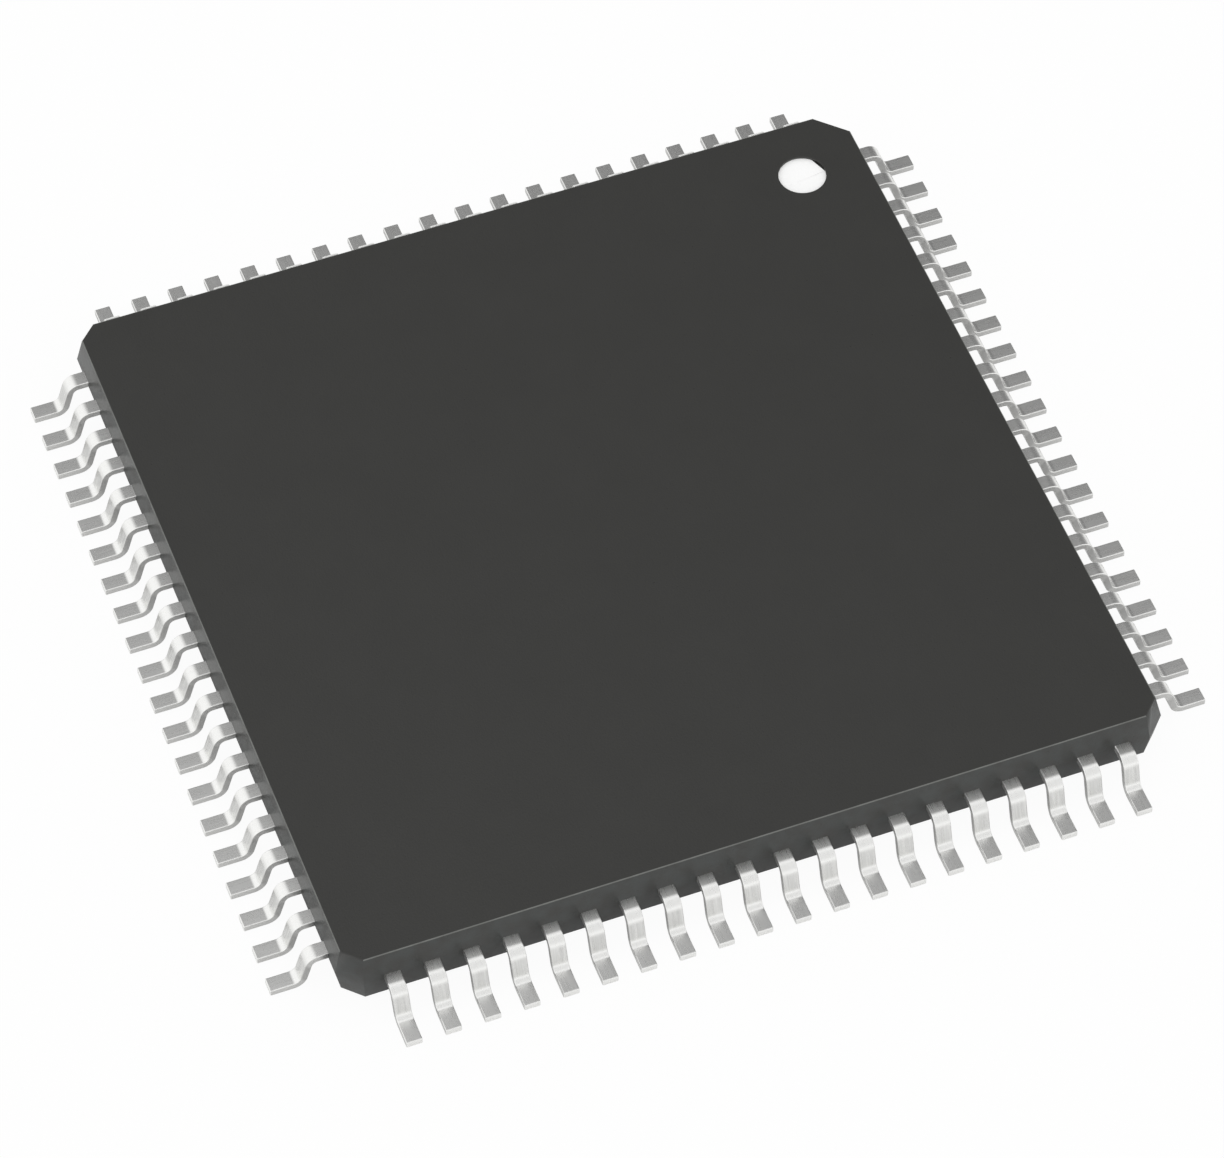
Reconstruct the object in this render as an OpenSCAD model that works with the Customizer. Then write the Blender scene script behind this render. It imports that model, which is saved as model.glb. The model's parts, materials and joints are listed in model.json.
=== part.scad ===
// Thin quad flat pack: a moulded body with gull-wing leads on its four sides, and the
// die, pad, lock tape and bond wires that the mould holds.
// The origin is the middle of the seating plane, with the marked face up (+Z).
// Pin 1 is at the -X +Y corner, and the pins count anticlockwise seen from above.

/* [Leads] */
// Number of leads on each side
leads_per_side = 20; // [18:2:22]
// Distance from one lead's middle to the next
lead_pitch = 0.65; // [0.54:0.01:0.8]
// Width of a lead outside the body
lead_width = 0.27; // [0.18:0.01:0.32]
// Thickness of the lead frame's strip
lead_thickness = 0.12; // [0.09:0.005:0.16]
// Length of the straight run between the body's side and the upper bend
shoulder_length = 0.16; // [0.08:0.01:0.4]
// Inside radius of the upper bend
upper_bend_radius = 0.11; // [0.05:0.01:0.14]
// Inside radius of the lower bend
lower_bend_radius = 0.13; // [0.05:0.01:0.16]
// Angle of the leg between the bends, measured down from level
leg_angle = 73; // [60:1:80]
// Length of the flat foot
foot_length = 0.385; // [0.2:0.005:0.8]

/* [Body] */
// Distance from the last lead's middle to the body's corner, at the parting line
corner_margin = 0.825; // [0.7:0.005:1.2]
// Height of the body's underside above the seating plane
standoff = 0.11; // [0.05:0.01:0.15]
// Height of the body below the parting line
lower_half_height = 0.485; // [0.44:0.005:0.7]
// Height of the body above the parting line
upper_half_height = 0.475; // [0.42:0.005:0.7]
// Draft of the sides above the parting line
upper_draft = 13; // [5:0.5:15]
// Draft of the sides below the parting line
lower_draft = 10; // [5:0.5:15]
// Leg of the three plain corner chamfers, at the parting line
corner_chamfer = 0.35; // [0.2:0.01:0.5]
// Leg of the chamfer at pin 1, at the parting line
pin_one_chamfer = 0.56; // [0.3:0.01:0.7]

/* [Pin 1 mark] */
// Diameter of the round recess
recess_diameter = 0.82; // [0.5:0.01:1.2]
// Depth of the round recess
recess_depth = 0.06; // [0.04:0.005:0.1]
// Distance from the recess's middle to each of the two sides, at the parting line
recess_inset = 1.25; // [1.1:0.05:2]
// Thickness of the white mark on the floor of the recess
mark_thickness = 0.02; // [0.01:0.005:0.03]

/* [Ejector marks] */
// Diameter of the round marks that the ejector pins leave in the underside
ejector_diameter = 1.6; // [1:0.1:2.4]
// Depth of the ejector marks
ejector_depth = 0.03; // [0.02:0.005:0.05]
// Distance from an ejector mark's middle to each of the two sides, at the parting line
ejector_inset = 2.4; // [1.8:0.1:3]

/* [Lead frame inside the body] */
// Length of finger that runs straight in from the side, at the corners
corner_run = 0.2; // [0.15:0.05:0.4]
// Length of finger that runs straight in from the side, at mid side
middle_run = 1.1; // [0.4:0.1:1.4]
// Gap between the die pad's edge and the fingers' tips, seen from above
tip_gap = 0.45; // [0.3:0.05:0.8]
// Distance kept by the last finger's tip from the corner of the row of tips
tip_corner_gap = 0.42; // [0.35:0.01:0.6]
// Width of a finger's tip
tip_width = 0.15; // [0.1:0.01:0.18]
// Margin of die pad all round the die
pad_margin = 0.7; // [0.3:0.05:0.9]
// Drop of the die pad below the level of the leads
pad_downset = 0.16; // [0.12:0.01:0.19]
// Width of the tie bars
tie_bar_width = 0.2; // [0.12:0.01:0.26]
// Mould left between the tie bars' ends and the larger corner chamfer
tie_bar_cover = 0.25; // [0.15:0.01:0.5]
// Distance from the body's side to the lock tape's outer edge
tape_inset = 1.2; // [1:0.1:1.4]
// Width of the lock tape
tape_width = 0.8; // [0.5:0.1:1]
// Thickness of the lock tape
tape_thickness = 0.075; // [0.05:0.005:0.1]

/* [Die and wires] */
// Side of the square die
die_size = 5; // [4:0.1:5.4]
// Thickness of the die
die_thickness = 0.25; // [0.15:0.01:0.3]
// Thickness of the bond layer below the die
attach_thickness = 0.03; // [0.02:0.005:0.05]
// Width of the bond layer's fillet outside the die's edge
attach_margin = 0.08; // [0.04:0.01:0.15]
// Diameter of a bond wire
wire_diameter = 0.025; // [0.018:0.001:0.033]
// Diameter of the ball that bonds a wire to the die
ball_diameter = 0.07; // [0.05:0.005:0.08]
// Height of the bonding ball
ball_height = 0.02; // [0.015:0.001:0.03]
// Radius of a wire's loop above its ball, measured at the wire's middle
loop_radius = 0.11; // [0.08:0.005:0.12]
// Distance from a bonding ball's middle to the die's edge
bond_inset = 0.12; // [0.08:0.01:0.2]
// Distance of the last bonding ball of a side from the corner of the row of balls
bond_corner_gap = 0.29; // [0.2:0.01:0.5]
// Distance from a finger's tip to where its wire lands
landing_inset = 0.15; // [0.1:0.01:0.25]

/* [Hidden] */
$fn = 32;
SIDES = 4;
// How many leads share a node
LEADS_PER_NODE = 2;
// Thickness of a wire's loop as a share of its run's, so that the loop's end is inside the run
LOOP_THINNING = 0.95;
lead_count = SIDES * leads_per_side;
wires_per_node = leads_per_side / 2;

// Body, from the row of leads outwards
half_row = (leads_per_side - 1) / 2 * lead_pitch;
half_body = half_row + corner_margin;
parting_z = standoff + lower_half_height;
body_top_z = parting_z + upper_half_height;
upper_taper = upper_half_height * tan(upper_draft);
lower_taper = lower_half_height * tan(lower_draft);
half_diagonal = half_body * sqrt(2);
plain_corner_reach = half_diagonal - corner_chamfer / sqrt(2);
pin_one_reach = half_diagonal - pin_one_chamfer / sqrt(2);
bar_length = 3 * half_body;

// Gull wing, along the middle of the strip
upper_centre_radius = upper_bend_radius + lead_thickness / 2;
lower_centre_radius = lower_bend_radius + lead_thickness / 2;
bend_drop = (upper_centre_radius + lower_centre_radius) * (1 - cos(leg_angle));
leg_length = (parting_z - lead_thickness / 2 - bend_drop) / sin(leg_angle);
finger_z = parting_z - lead_thickness / 2;
finger_top_z = parting_z + lead_thickness / 2;

// Die pad, die and wire bonds
pad_size = die_size + 2 * pad_margin;
pad_z = finger_z - pad_downset;
attach_z = pad_z + lead_thickness;
die_z = attach_z + attach_thickness;
die_top_z = die_z + die_thickness;
tip_x = pad_size / 2 + tip_gap;
half_tip_row = tip_x - tip_corner_gap;
landing_x = tip_x + landing_inset;
bond_x = die_size / 2 - bond_inset;
half_bond_row = bond_x - bond_corner_gap;
ball_top_z = die_top_z + ball_height;

// Names of the nodes, by pin numbers
function two_digits(n) = str(n < 10 ? "0" : "", n);
function range_name(word, first, last) = str(word, "_", two_digits(first), "_", two_digits(last));
lead_groups = [for (first = [1:LEADS_PER_NODE:lead_count]) [first, first + LEADS_PER_NODE - 1]];
wire_groups = [for (first = [1:wires_per_node:lead_count]) [first, first + wires_per_node - 1]];

// Place of lead n in its row: from -1 at the row's first lead to +1 at its last
function row_place(n) = 2 * ((n - 1) % leads_per_side) / (leads_per_side - 1) - 1;
function side_of(n) = floor((n - 1) / leads_per_side);

// Turns a lead or wire drawn towards +X to the side of pin n
module on_side_of(n) {
    rotate(180 + 90 * side_of(n)) children();
}

// Body: the drafted side profile, run as a bar along each pair of sides and each pair of
// corners. What the four bars share is the moulded form.
module drafted_bar(left_reach, right_reach) {
    profile = [
        [-left_reach + lower_taper, standoff],
        [right_reach - lower_taper, standoff],
        [right_reach, parting_z],
        [right_reach - upper_taper, body_top_z],
        [-left_reach + upper_taper, body_top_z],
        [-left_reach, parting_z]
    ];
    rotate([90, 0, 0]) linear_extrude(bar_length, center = true) polygon(profile);
}

module body_form() {
    intersection() {
        drafted_bar(half_body, half_body);
        rotate(90) drafted_bar(half_body, half_body);
        rotate(45) drafted_bar(plain_corner_reach, plain_corner_reach);
        rotate(135) drafted_bar(plain_corner_reach, pin_one_reach);
    }
}

module pin_one_cylinder(z, height) {
    translate([-half_body + recess_inset, half_body - recess_inset, z])
        cylinder(d = recess_diameter, h = height);
}

module ejector_marks() {
    reach = half_body - ejector_inset;
    for (x = [-reach, reach], y = [-reach, reach])
        translate([x, y, 0]) cylinder(d = ejector_diameter, h = standoff + ejector_depth);
}

module mould_body() {
    color([0.25, 0.25, 0.24]) difference() {
        body_form();
        pin_one_cylinder(body_top_z - recess_depth, 2 * recess_depth);
        ejector_marks();
        for (n = [1:lead_count]) lead(n);
        die_pad();
        die_attach();
        die();
        lead_lock_tape();
        for (n = [1:lead_count]) bond_wire(n);
    }
}

module pin_one_dot() {
    color("white") pin_one_cylinder(body_top_z - recess_depth, mark_thickness);
}

// Part of a flat ring, from straight up round to the given angle, in the profile's plane
module bend_section(inside_radius, angle) {
    reach = 2 * (inside_radius + lead_thickness);
    wedge = [
        [0, 0],
        [0, reach],
        [reach * tan(angle / 2), reach],
        [reach * sin(angle), reach * cos(angle)]
    ];
    intersection() {
        difference() {
            circle(inside_radius + lead_thickness);
            circle(inside_radius);
        }
        polygon(wedge);
    }
}

// Side view of a lead: level finger and shoulder, upper bend, leg, lower bend and foot
module lead_side_view() {
    shoulder_end = half_body + shoulder_length;
    translate([tip_x, finger_z]) square([shoulder_end - tip_x, lead_thickness]);
    translate([shoulder_end, parting_z - upper_centre_radius]) {
        bend_section(upper_bend_radius, leg_angle);
        rotate(-leg_angle) {
            translate([0, upper_bend_radius]) square([leg_length, lead_thickness]);
            translate([leg_length, upper_centre_radius + lower_centre_radius]) {
                mirror([0, 1]) bend_section(lower_bend_radius, leg_angle);
                rotate(leg_angle) translate([0, -lower_bend_radius - lead_thickness])
                    square([foot_length, lead_thickness]);
            }
        }
    }
}

// Plan of a lead: straight from beyond its foot to the knee, then fanning in to its tip. It
// runs straight for longer towards mid side, so that neighbours turn one after the other.
function knee_x(place) = half_body - corner_run - (middle_run - corner_run) * (1 - abs(place));

module lead_plan(place) {
    row_y = place * half_row;
    tip_y = place * half_tip_row;
    polygon([
        [bar_length, row_y - lead_width / 2],
        [bar_length, row_y + lead_width / 2],
        [knee_x(place), row_y + lead_width / 2],
        [tip_x, tip_y + tip_width / 2],
        [tip_x, tip_y - tip_width / 2],
        [knee_x(place), row_y - lead_width / 2]
    ]);
}

// A lead is what its side view and its plan share
module lead(n) {
    color([0.78, 0.78, 0.76]) on_side_of(n) intersection() {
        rotate([90, 0, 0]) linear_extrude(bar_length, center = true) lead_side_view();
        translate([0, 0, -lead_thickness]) linear_extrude(body_top_z) lead_plan(row_place(n));
    }
}

// A tie bar drawn towards +X: level with the pad, up the down-set at 45 degrees, then level
// with the leads
module tie_bar() {
    start_x = pad_size / sqrt(2) - tie_bar_width;
    ramp_x = pad_size / sqrt(2) + lead_thickness;
    end_x = pin_one_reach - tie_bar_cover;
    profile = [
        [start_x, pad_z],
        [ramp_x, pad_z],
        [ramp_x + pad_downset, finger_z],
        [end_x, finger_z],
        [end_x, finger_top_z],
        [ramp_x + pad_downset, finger_top_z],
        [ramp_x, attach_z],
        [start_x, attach_z]
    ];
    translate([0, tie_bar_width / 2, 0]) rotate([90, 0, 0])
        linear_extrude(tie_bar_width) polygon(profile);
}

module die_pad() {
    color([0.72, 0.45, 0.32]) {
        translate([-pad_size / 2, -pad_size / 2, pad_z]) cube([pad_size, pad_size, lead_thickness]);
        for (corner = [0:SIDES - 1]) rotate(45 + 90 * corner) tie_bar();
    }
}

module die_attach() {
    side = die_size + 2 * attach_margin;
    color([0.62, 0.62, 0.6])
        translate([-side / 2, -side / 2, attach_z]) cube([side, side, attach_thickness]);
}

module die() {
    color([0.35, 0.36, 0.42])
        translate([-die_size / 2, -die_size / 2, die_z]) cube([die_size, die_size, die_thickness]);
}

module lead_lock_tape() {
    outer = 2 * (half_body - tape_inset);
    inner = outer - 2 * tape_width;
    color([0.75, 0.5, 0.2]) translate([0, 0, finger_top_z]) linear_extrude(tape_thickness)
        difference() {
            square(outer, center = true);
            square(inner, center = true);
        }
}

// A bond wire in its own upright plane: ball, loop and the straight run down to the finger,
// where it is cut off level. The run leaves the loop at the angle that just reaches the
// landing point. The loop is a hair thinner than the run, and both its ends are inside what
// they meet.
module wire_shape(span) {
    drop = ball_top_z - finger_top_z;
    reach = span - loop_radius;
    run_angle = atan2(drop, reach) + asin(loop_radius / norm([reach, drop]));
    run_length = (span - loop_radius * (1 + sin(run_angle))) / cos(run_angle);
    root_angle = asin(ball_height / 2 / loop_radius);
    lap = wire_diameter / 4;
    translate([0, 0, die_top_z]) cylinder(d = ball_diameter, h = ball_height);
    translate([loop_radius, 0, ball_top_z]) {
        rotate([90, 0, 0]) rotate(90 - run_angle)
            rotate_extrude(angle = 90 + run_angle + root_angle) translate([loop_radius, 0])
                circle(d = wire_diameter * LOOP_THINNING);
        difference() {
            rotate([0, run_angle, 0]) translate([-lap, 0, loop_radius]) rotate([0, 90, 0])
                cylinder(d = wire_diameter, h = lap + run_length + 3 * wire_diameter);
            translate([0, -wire_diameter, -drop - lead_thickness])
                cube([2 * span, 2 * wire_diameter, lead_thickness]);
        }
    }
}

module bond_wire(n) {
    place = row_place(n);
    landing_share = landing_inset / (knee_x(place) - tip_x);
    landing_y = place * (half_tip_row + (half_row - half_tip_row) * landing_share);
    bond_y = place * half_bond_row;
    step = [landing_x - bond_x, landing_y - bond_y];
    color([0.85, 0.68, 0.3]) on_side_of(n) translate([bond_x, bond_y, 0])
        rotate(atan2(step[1], step[0])) wire_shape(norm(step));
}

mould_body();
pin_one_dot();
die_pad();
die_attach();
die();
lead_lock_tape();
for (g = lead_groups) {
    for (n = [g[0]:g[1]]) lead(n);
}
for (g = wire_groups) {
    for (n = [g[0]:g[1]]) bond_wire(n);
}
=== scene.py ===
# %% [markdown]
# # A quad flat pack chip
# A quad flat pack is a thin square of black moulding compound with tin-plated leads along
# all four sides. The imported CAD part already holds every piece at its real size. This
# lesson gives each piece its look. The body, the pin 1 mark and the eighty leads are
# modelled again with their rounded edges, and the pieces sealed inside keep their CAD
# meshes and get materials of their own.

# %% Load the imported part
import json
import math

import bmesh
import bpy
from mathutils import Matrix, Vector

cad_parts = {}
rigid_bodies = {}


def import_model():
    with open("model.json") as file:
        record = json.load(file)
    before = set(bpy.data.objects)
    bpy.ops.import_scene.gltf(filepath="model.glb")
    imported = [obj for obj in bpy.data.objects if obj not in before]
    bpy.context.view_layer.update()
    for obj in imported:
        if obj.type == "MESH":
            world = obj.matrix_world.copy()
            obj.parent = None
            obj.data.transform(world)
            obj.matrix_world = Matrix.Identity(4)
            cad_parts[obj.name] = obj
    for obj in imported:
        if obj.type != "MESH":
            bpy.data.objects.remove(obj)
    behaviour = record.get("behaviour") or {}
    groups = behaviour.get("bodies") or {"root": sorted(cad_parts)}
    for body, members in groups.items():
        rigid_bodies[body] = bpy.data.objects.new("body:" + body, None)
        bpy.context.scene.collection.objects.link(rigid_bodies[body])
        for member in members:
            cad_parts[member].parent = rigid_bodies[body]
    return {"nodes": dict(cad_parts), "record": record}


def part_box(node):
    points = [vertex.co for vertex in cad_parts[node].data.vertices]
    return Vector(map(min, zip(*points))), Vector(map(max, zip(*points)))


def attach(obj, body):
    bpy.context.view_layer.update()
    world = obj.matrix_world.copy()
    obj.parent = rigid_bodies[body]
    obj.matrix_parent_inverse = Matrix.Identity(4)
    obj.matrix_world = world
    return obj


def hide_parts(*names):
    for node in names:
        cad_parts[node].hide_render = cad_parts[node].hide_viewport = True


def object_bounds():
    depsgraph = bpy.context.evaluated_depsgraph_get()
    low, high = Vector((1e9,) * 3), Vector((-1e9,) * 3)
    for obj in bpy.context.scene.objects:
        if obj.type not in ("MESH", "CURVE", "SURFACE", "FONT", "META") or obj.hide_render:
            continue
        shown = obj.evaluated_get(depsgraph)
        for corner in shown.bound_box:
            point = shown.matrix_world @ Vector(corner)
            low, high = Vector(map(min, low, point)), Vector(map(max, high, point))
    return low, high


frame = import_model()
cad_low, cad_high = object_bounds()
MM = 0.001
print("CAD box in mm:", [round(edge / MM, 3) for edge in cad_high - cad_low])

# %% [markdown]
# ## Camera
# The chip fills the picture when a long lens looks at it from about half way up. A long
# lens keeps the sides nearly parallel, as in a catalogue. The camera is described the way
# a person would set it up: which way round it stands, how high, how far off, and what it
# points at. It tips sideways by less than half a degree.

# %% Set up the camera
CAMERA_AZIMUTH = math.radians(69.72)
CAMERA_ELEVATION = math.radians(52.227)
CAMERA_ROLL = math.radians(-0.4625)
CAMERA_DISTANCE = 98.16 * MM
CAMERA_LENS = 176.77
AIM_OFFSET = Vector((0.8865, -0.232, 0)) * MM

aim = (cad_low + cad_high) / 2 + AIM_OFFSET
camera = bpy.data.objects.new("camera", bpy.data.cameras.new("camera"))
bpy.context.scene.collection.objects.link(camera)
camera.data.lens = CAMERA_LENS
camera.data.clip_start = CAMERA_DISTANCE / 20
turn = Matrix.Rotation(CAMERA_AZIMUTH, 4, "Z")
turn = turn @ Matrix.Rotation(math.pi / 2 - CAMERA_ELEVATION, 4, "X")
back = (turn @ Vector((0, 0, 1))).normalized()
place = Matrix.Translation(aim + CAMERA_DISTANCE * back)
camera.matrix_world = place @ turn @ Matrix.Rotation(CAMERA_ROLL, 4, "Z")
bpy.context.scene.camera = camera
bpy.context.scene.view_settings.view_transform = "Standard"
print("camera at (mm):", [round(edge / MM, 2) for edge in camera.location])

# %% [markdown]
# ## Tools for making materials
# Every material here is a small network of shader nodes. They could be drawn in the shader
# editor, but written out they come out the same each time. Four short helpers keep them
# readable: one adds a node with its values, one joins two sockets, one starts a material
# with its main shader, and one starts a node group with named sockets.

# %% Helpers for shader nodes
def add_node(tree, kind, values=None, **settings):
    """Adds a shader node, sets its settings, and fills its unlinked inputs."""
    node = tree.nodes.new(kind)
    for name, value in settings.items():
        setattr(node, name, value)
    for name, value in (values or {}).items():
        node.inputs[name].default_value = value
    return node


def join(tree, source, output, target, socket):
    tree.links.new(source.outputs[output], target.inputs[socket])


def new_material(name, **values):
    """A material whose Principled shader has the given values, and its node tree."""
    material = bpy.data.materials.new(name)
    material.use_nodes = True
    shader = material.node_tree.nodes["Principled BSDF"]
    for socket, value in values.items():
        shader.inputs[socket.replace("_", " ")].default_value = value
    return material, material.node_tree, shader


def new_group(name, inputs, outputs):
    """A shader node group with named sockets, and its two end nodes."""
    group = bpy.data.node_groups.new(name, "ShaderNodeTree")
    for socket, kind in inputs.items():
        group.interface.new_socket(name=socket, in_out="INPUT", socket_type=kind)
    for socket, kind in outputs.items():
        group.interface.new_socket(name=socket, in_out="OUTPUT", socket_type=kind)
    return group, group.nodes.new("NodeGroupInput"), group.nodes.new("NodeGroupOutput")


NUMBER = "NodeSocketFloat"
COLOUR = "NodeSocketColor"
VECTOR = "NodeSocketVector"
print("sockets:", NUMBER, COLOUR, VECTOR)

# %% [markdown]
# ## Floor
# The chip lies on a plain white table. A floor that is lit until it clips to white would
# wash out the chip too. So the floor keeps a plain pale colour in the light, and turns
# nearly all white where the camera looks at it, and partly white where a mirror does. The
# rest of its lit colour keeps a trace of the soft shadow. From below it is clear, so the
# underside of the chip can be looked at as well.

# %% Lay the floor
FLOOR_SIZE = 4.0
FLOOR_GAP = 0.005 * MM
FLOOR_COLOUR = (0.85, 0.85, 0.845, 1)
# How white the floor looks to the camera, and to the metal that mirrors it
WHITE_TO_CAMERA = 0.95
WHITE_TO_METAL = 0.25

bpy.ops.object.select_all(action="DESELECT")
bpy.ops.mesh.primitive_plane_add(size=FLOOR_SIZE, location=(0, 0, cad_low.z - FLOOR_GAP))
floor = bpy.context.object
floor.name = "floor"
print("floor", FLOOR_SIZE, "m wide")

# %% Colour the floor
floor_material, tree, shader = new_material("table_top", Base_Color=FLOOR_COLOUR, Roughness=0.9)
shader.inputs["Specular IOR Level"].default_value = 0
rays = add_node(tree, "ShaderNodeLightPath")
mirrored = add_node(tree, "ShaderNodeMath", operation="MAXIMUM")
join(tree, rays, "Is Glossy Ray", mirrored, 0)
join(tree, rays, "Is Transmission Ray", mirrored, 1)
to_metal = add_node(tree, "ShaderNodeMath", {1: WHITE_TO_METAL}, operation="MULTIPLY")
join(tree, mirrored, "Value", to_metal, 0)
to_camera = add_node(tree, "ShaderNodeMath", {1: WHITE_TO_CAMERA}, operation="MULTIPLY")
join(tree, rays, "Is Camera Ray", to_camera, 0)
whiteness = add_node(tree, "ShaderNodeMath", operation="MAXIMUM")
join(tree, to_metal, "Value", whiteness, 0)
join(tree, to_camera, "Value", whiteness, 1)
white = add_node(tree, "ShaderNodeEmission", {"Color": (1, 1, 1, 1), "Strength": 1})
blend = add_node(tree, "ShaderNodeMixShader")
join(tree, whiteness, "Value", blend, "Fac")
join(tree, shader, "BSDF", blend, 1)
join(tree, white, "Emission", blend, 2)
face = add_node(tree, "ShaderNodeNewGeometry")
clear = add_node(tree, "ShaderNodeBsdfTransparent")
from_below = add_node(tree, "ShaderNodeMixShader")
join(tree, face, "Backfacing", from_below, "Fac")
join(tree, blend, "Shader", from_below, 1)
join(tree, clear, "BSDF", from_below, 2)
join(tree, from_below, "Shader", tree.nodes["Material Output"], "Surface")
floor.data.materials.append(floor_material)
print(floor_material.name, "has", len(tree.nodes), "nodes")

# %% [markdown]
# ## Light and cards
# Even white light from all round gives soft shadows and shows a colour as it is. Tin plate
# is nearly a mirror, though, and in even light it would have no shape at all. A
# photographer hangs a grey card on the far side, and the level faces of the leads mirror it
# while their bends mirror the white room. The card here is a piece of a big ball round the
# chip, dark in its middle and fading to white at its rim. A second, pale card behind the
# camera takes the glare off the near bends. Lamps would do it too, but they would also
# light the compound unevenly: the cards are met by mirrored rays alone.

# %% Light the room
ROOM_LIGHT = 1.0
world = bpy.data.worlds.new("white_room")
bpy.context.scene.world = world
world.use_nodes = True
world.node_tree.nodes["Background"].inputs["Color"].default_value = (1, 1, 1, 1)
world.node_tree.nodes["Background"].inputs["Strength"].default_value = ROOM_LIGHT
print("room light", ROOM_LIGHT)

# %% Hang the cards
def hang_card(name, radius, azimuth, elevation, rim, tones):
    """A cap of a ball round the chip, glowing in greys that change from rim to middle.

    The azimuth and elevation point to the card's middle, rim is the angle from there to
    its edge, and each tone is a share of the way in and a grey. It ends above the floor."""
    azimuth, elevation = math.radians(azimuth), math.radians(elevation)
    way = Vector((
        math.cos(elevation) * math.cos(azimuth),
        math.cos(elevation) * math.sin(azimuth),
        math.sin(elevation),
    ))
    rim = math.cos(math.radians(rim))
    bpy.ops.object.select_all(action="DESELECT")
    bpy.ops.mesh.primitive_uv_sphere_add(segments=64, ring_count=32, radius=radius)
    card = bpy.context.object
    card.name = name
    bpy.ops.object.mode_set(mode="EDIT")
    bpy.ops.mesh.bisect(plane_co=way * radius * rim, plane_no=way, clear_inner=True)
    bpy.ops.mesh.select_all(action="SELECT")
    bpy.ops.mesh.bisect(plane_co=(0, 0, radius / 100), plane_no=(0, 0, 1), clear_inner=True)
    bpy.ops.object.mode_set(mode="OBJECT")
    bpy.ops.object.shade_smooth()
    card.visible_camera = False
    card.visible_diffuse = False

    material = bpy.data.materials.new(name)
    material.use_nodes = True
    tree = material.node_tree
    tree.nodes.clear()
    spot = add_node(tree, "ShaderNodeTexCoord")
    inward = add_node(tree, "ShaderNodeVectorMath", {1: way / radius}, operation="DOT_PRODUCT")
    join(tree, spot, "Object", inward, 0)
    share = add_node(tree, "ShaderNodeMapRange", {"From Min": rim, "From Max": 1})
    join(tree, inward, "Value", share, "Value")
    tone = add_node(tree, "ShaderNodeValToRGB")
    stops = tone.color_ramp.elements
    for place, grey in tones[1:-1]:
        stops.new(place)
    for stop, (place, grey) in zip(stops, tones):
        stop.position = place
        stop.color = (grey, grey, grey, 1)
    join(tree, share, "Result", tone, "Fac")
    glow = add_node(tree, "ShaderNodeEmission", {"Strength": 1})
    join(tree, tone, "Color", glow, "Color")
    end = add_node(tree, "ShaderNodeOutputMaterial")
    join(tree, glow, "Emission", end, "Surface")
    card.data.materials.append(material)
    print(name, "of", len(card.data.polygons), "faces")


hang_card(
    "grey_card", radius=0.30, azimuth=150, elevation=27, rim=48,
    tones=((0, ROOM_LIGHT), (0.3, 0.6), (0.6, 0.3), (0.8, 0.2), (1, 0.17)),
)
hang_card(
    "pale_card", radius=0.32, azimuth=15, elevation=52, rim=38,
    tones=((0, ROOM_LIGHT), (0.5, 0.82), (1, 0.8)),
)

# %% [markdown]
# ## Effects that several finishes share
# Grain, rolling streaks and rubbed edges turn up on more than one piece, so each is a node
# group. A group gives out masks, colours and heights, and the material decides what they
# do. Lengths are in millimetres, because the chip is only a few of them wide.
#
# Grain comes first. A moulded or printed surface has fine grains, and broad clouds where
# there are more of them. One noise alone looks like sand, so a fine and a broad one add up.

# %% Grain of a moulded or cast surface
grain_group, ends_in, ends_out = new_group(
    "cast_grain",
    {"Vector": VECTOR, "Grains per mm": NUMBER, "Contrast": NUMBER},
    {"Shade": NUMBER, "Height": NUMBER},
)
tree = grain_group
fine = add_node(tree, "ShaderNodeTexNoise", {"Detail": 3, "Roughness": 0.6})
join(tree, ends_in, "Vector", fine, "Vector")
join(tree, ends_in, "Grains per mm", fine, "Scale")
cloud_scale = add_node(tree, "ShaderNodeMath", {1: 0.04}, operation="MULTIPLY")
join(tree, ends_in, "Grains per mm", cloud_scale, 0)
cloud = add_node(tree, "ShaderNodeTexNoise", {"Detail": 2})
join(tree, ends_in, "Vector", cloud, "Vector")
join(tree, cloud_scale, "Value", cloud, "Scale")
both = add_node(tree, "ShaderNodeMath", operation="ADD")
join(tree, fine, "Fac", both, 0)
join(tree, cloud, "Fac", both, 1)
centred = add_node(tree, "ShaderNodeMath", {1: 1}, operation="SUBTRACT")
join(tree, both, "Value", centred, 0)
shade = add_node(tree, "ShaderNodeMath", {2: 1}, operation="MULTIPLY_ADD")
join(tree, centred, "Value", shade, 0)
join(tree, ends_in, "Contrast", shade, 1)
join(tree, shade, "Value", ends_out, "Shade")
join(tree, fine, "Fac", ends_out, "Height")
print(grain_group.name, "gives", [output.name for output in ends_out.inputs if output.name])

# %% [markdown]
# Rolled strip has fine lines along the way it was rolled. A wave texture would draw them
# too evenly. A noise that is squeezed along one axis draws lines that start, stop and vary
# in strength, as scratches do. Here they run along Y.

# %% Streaks left by rolling and drawing
streak_group, ends_in, ends_out = new_group(
    "drawn_streaks",
    {"Vector": VECTOR, "Lines per mm": NUMBER, "Stretch": NUMBER, "Contrast": NUMBER},
    {"Shade": NUMBER, "Height": NUMBER},
)
tree = streak_group
longwise = add_node(tree, "ShaderNodeMath", {0: 1}, operation="DIVIDE")
join(tree, ends_in, "Stretch", longwise, 1)
squeeze = add_node(tree, "ShaderNodeCombineXYZ", {"X": 1, "Z": 1})
join(tree, longwise, "Value", squeeze, "Y")
squeezed = add_node(tree, "ShaderNodeVectorMath", operation="MULTIPLY")
join(tree, ends_in, "Vector", squeezed, 0)
join(tree, squeeze, "Vector", squeezed, 1)
lines = add_node(tree, "ShaderNodeTexNoise", {"Detail": 4, "Roughness": 0.7})
join(tree, squeezed, "Vector", lines, "Vector")
join(tree, ends_in, "Lines per mm", lines, "Scale")
centred = add_node(tree, "ShaderNodeMath", {1: 0.5}, operation="SUBTRACT")
join(tree, lines, "Fac", centred, 0)
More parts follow.
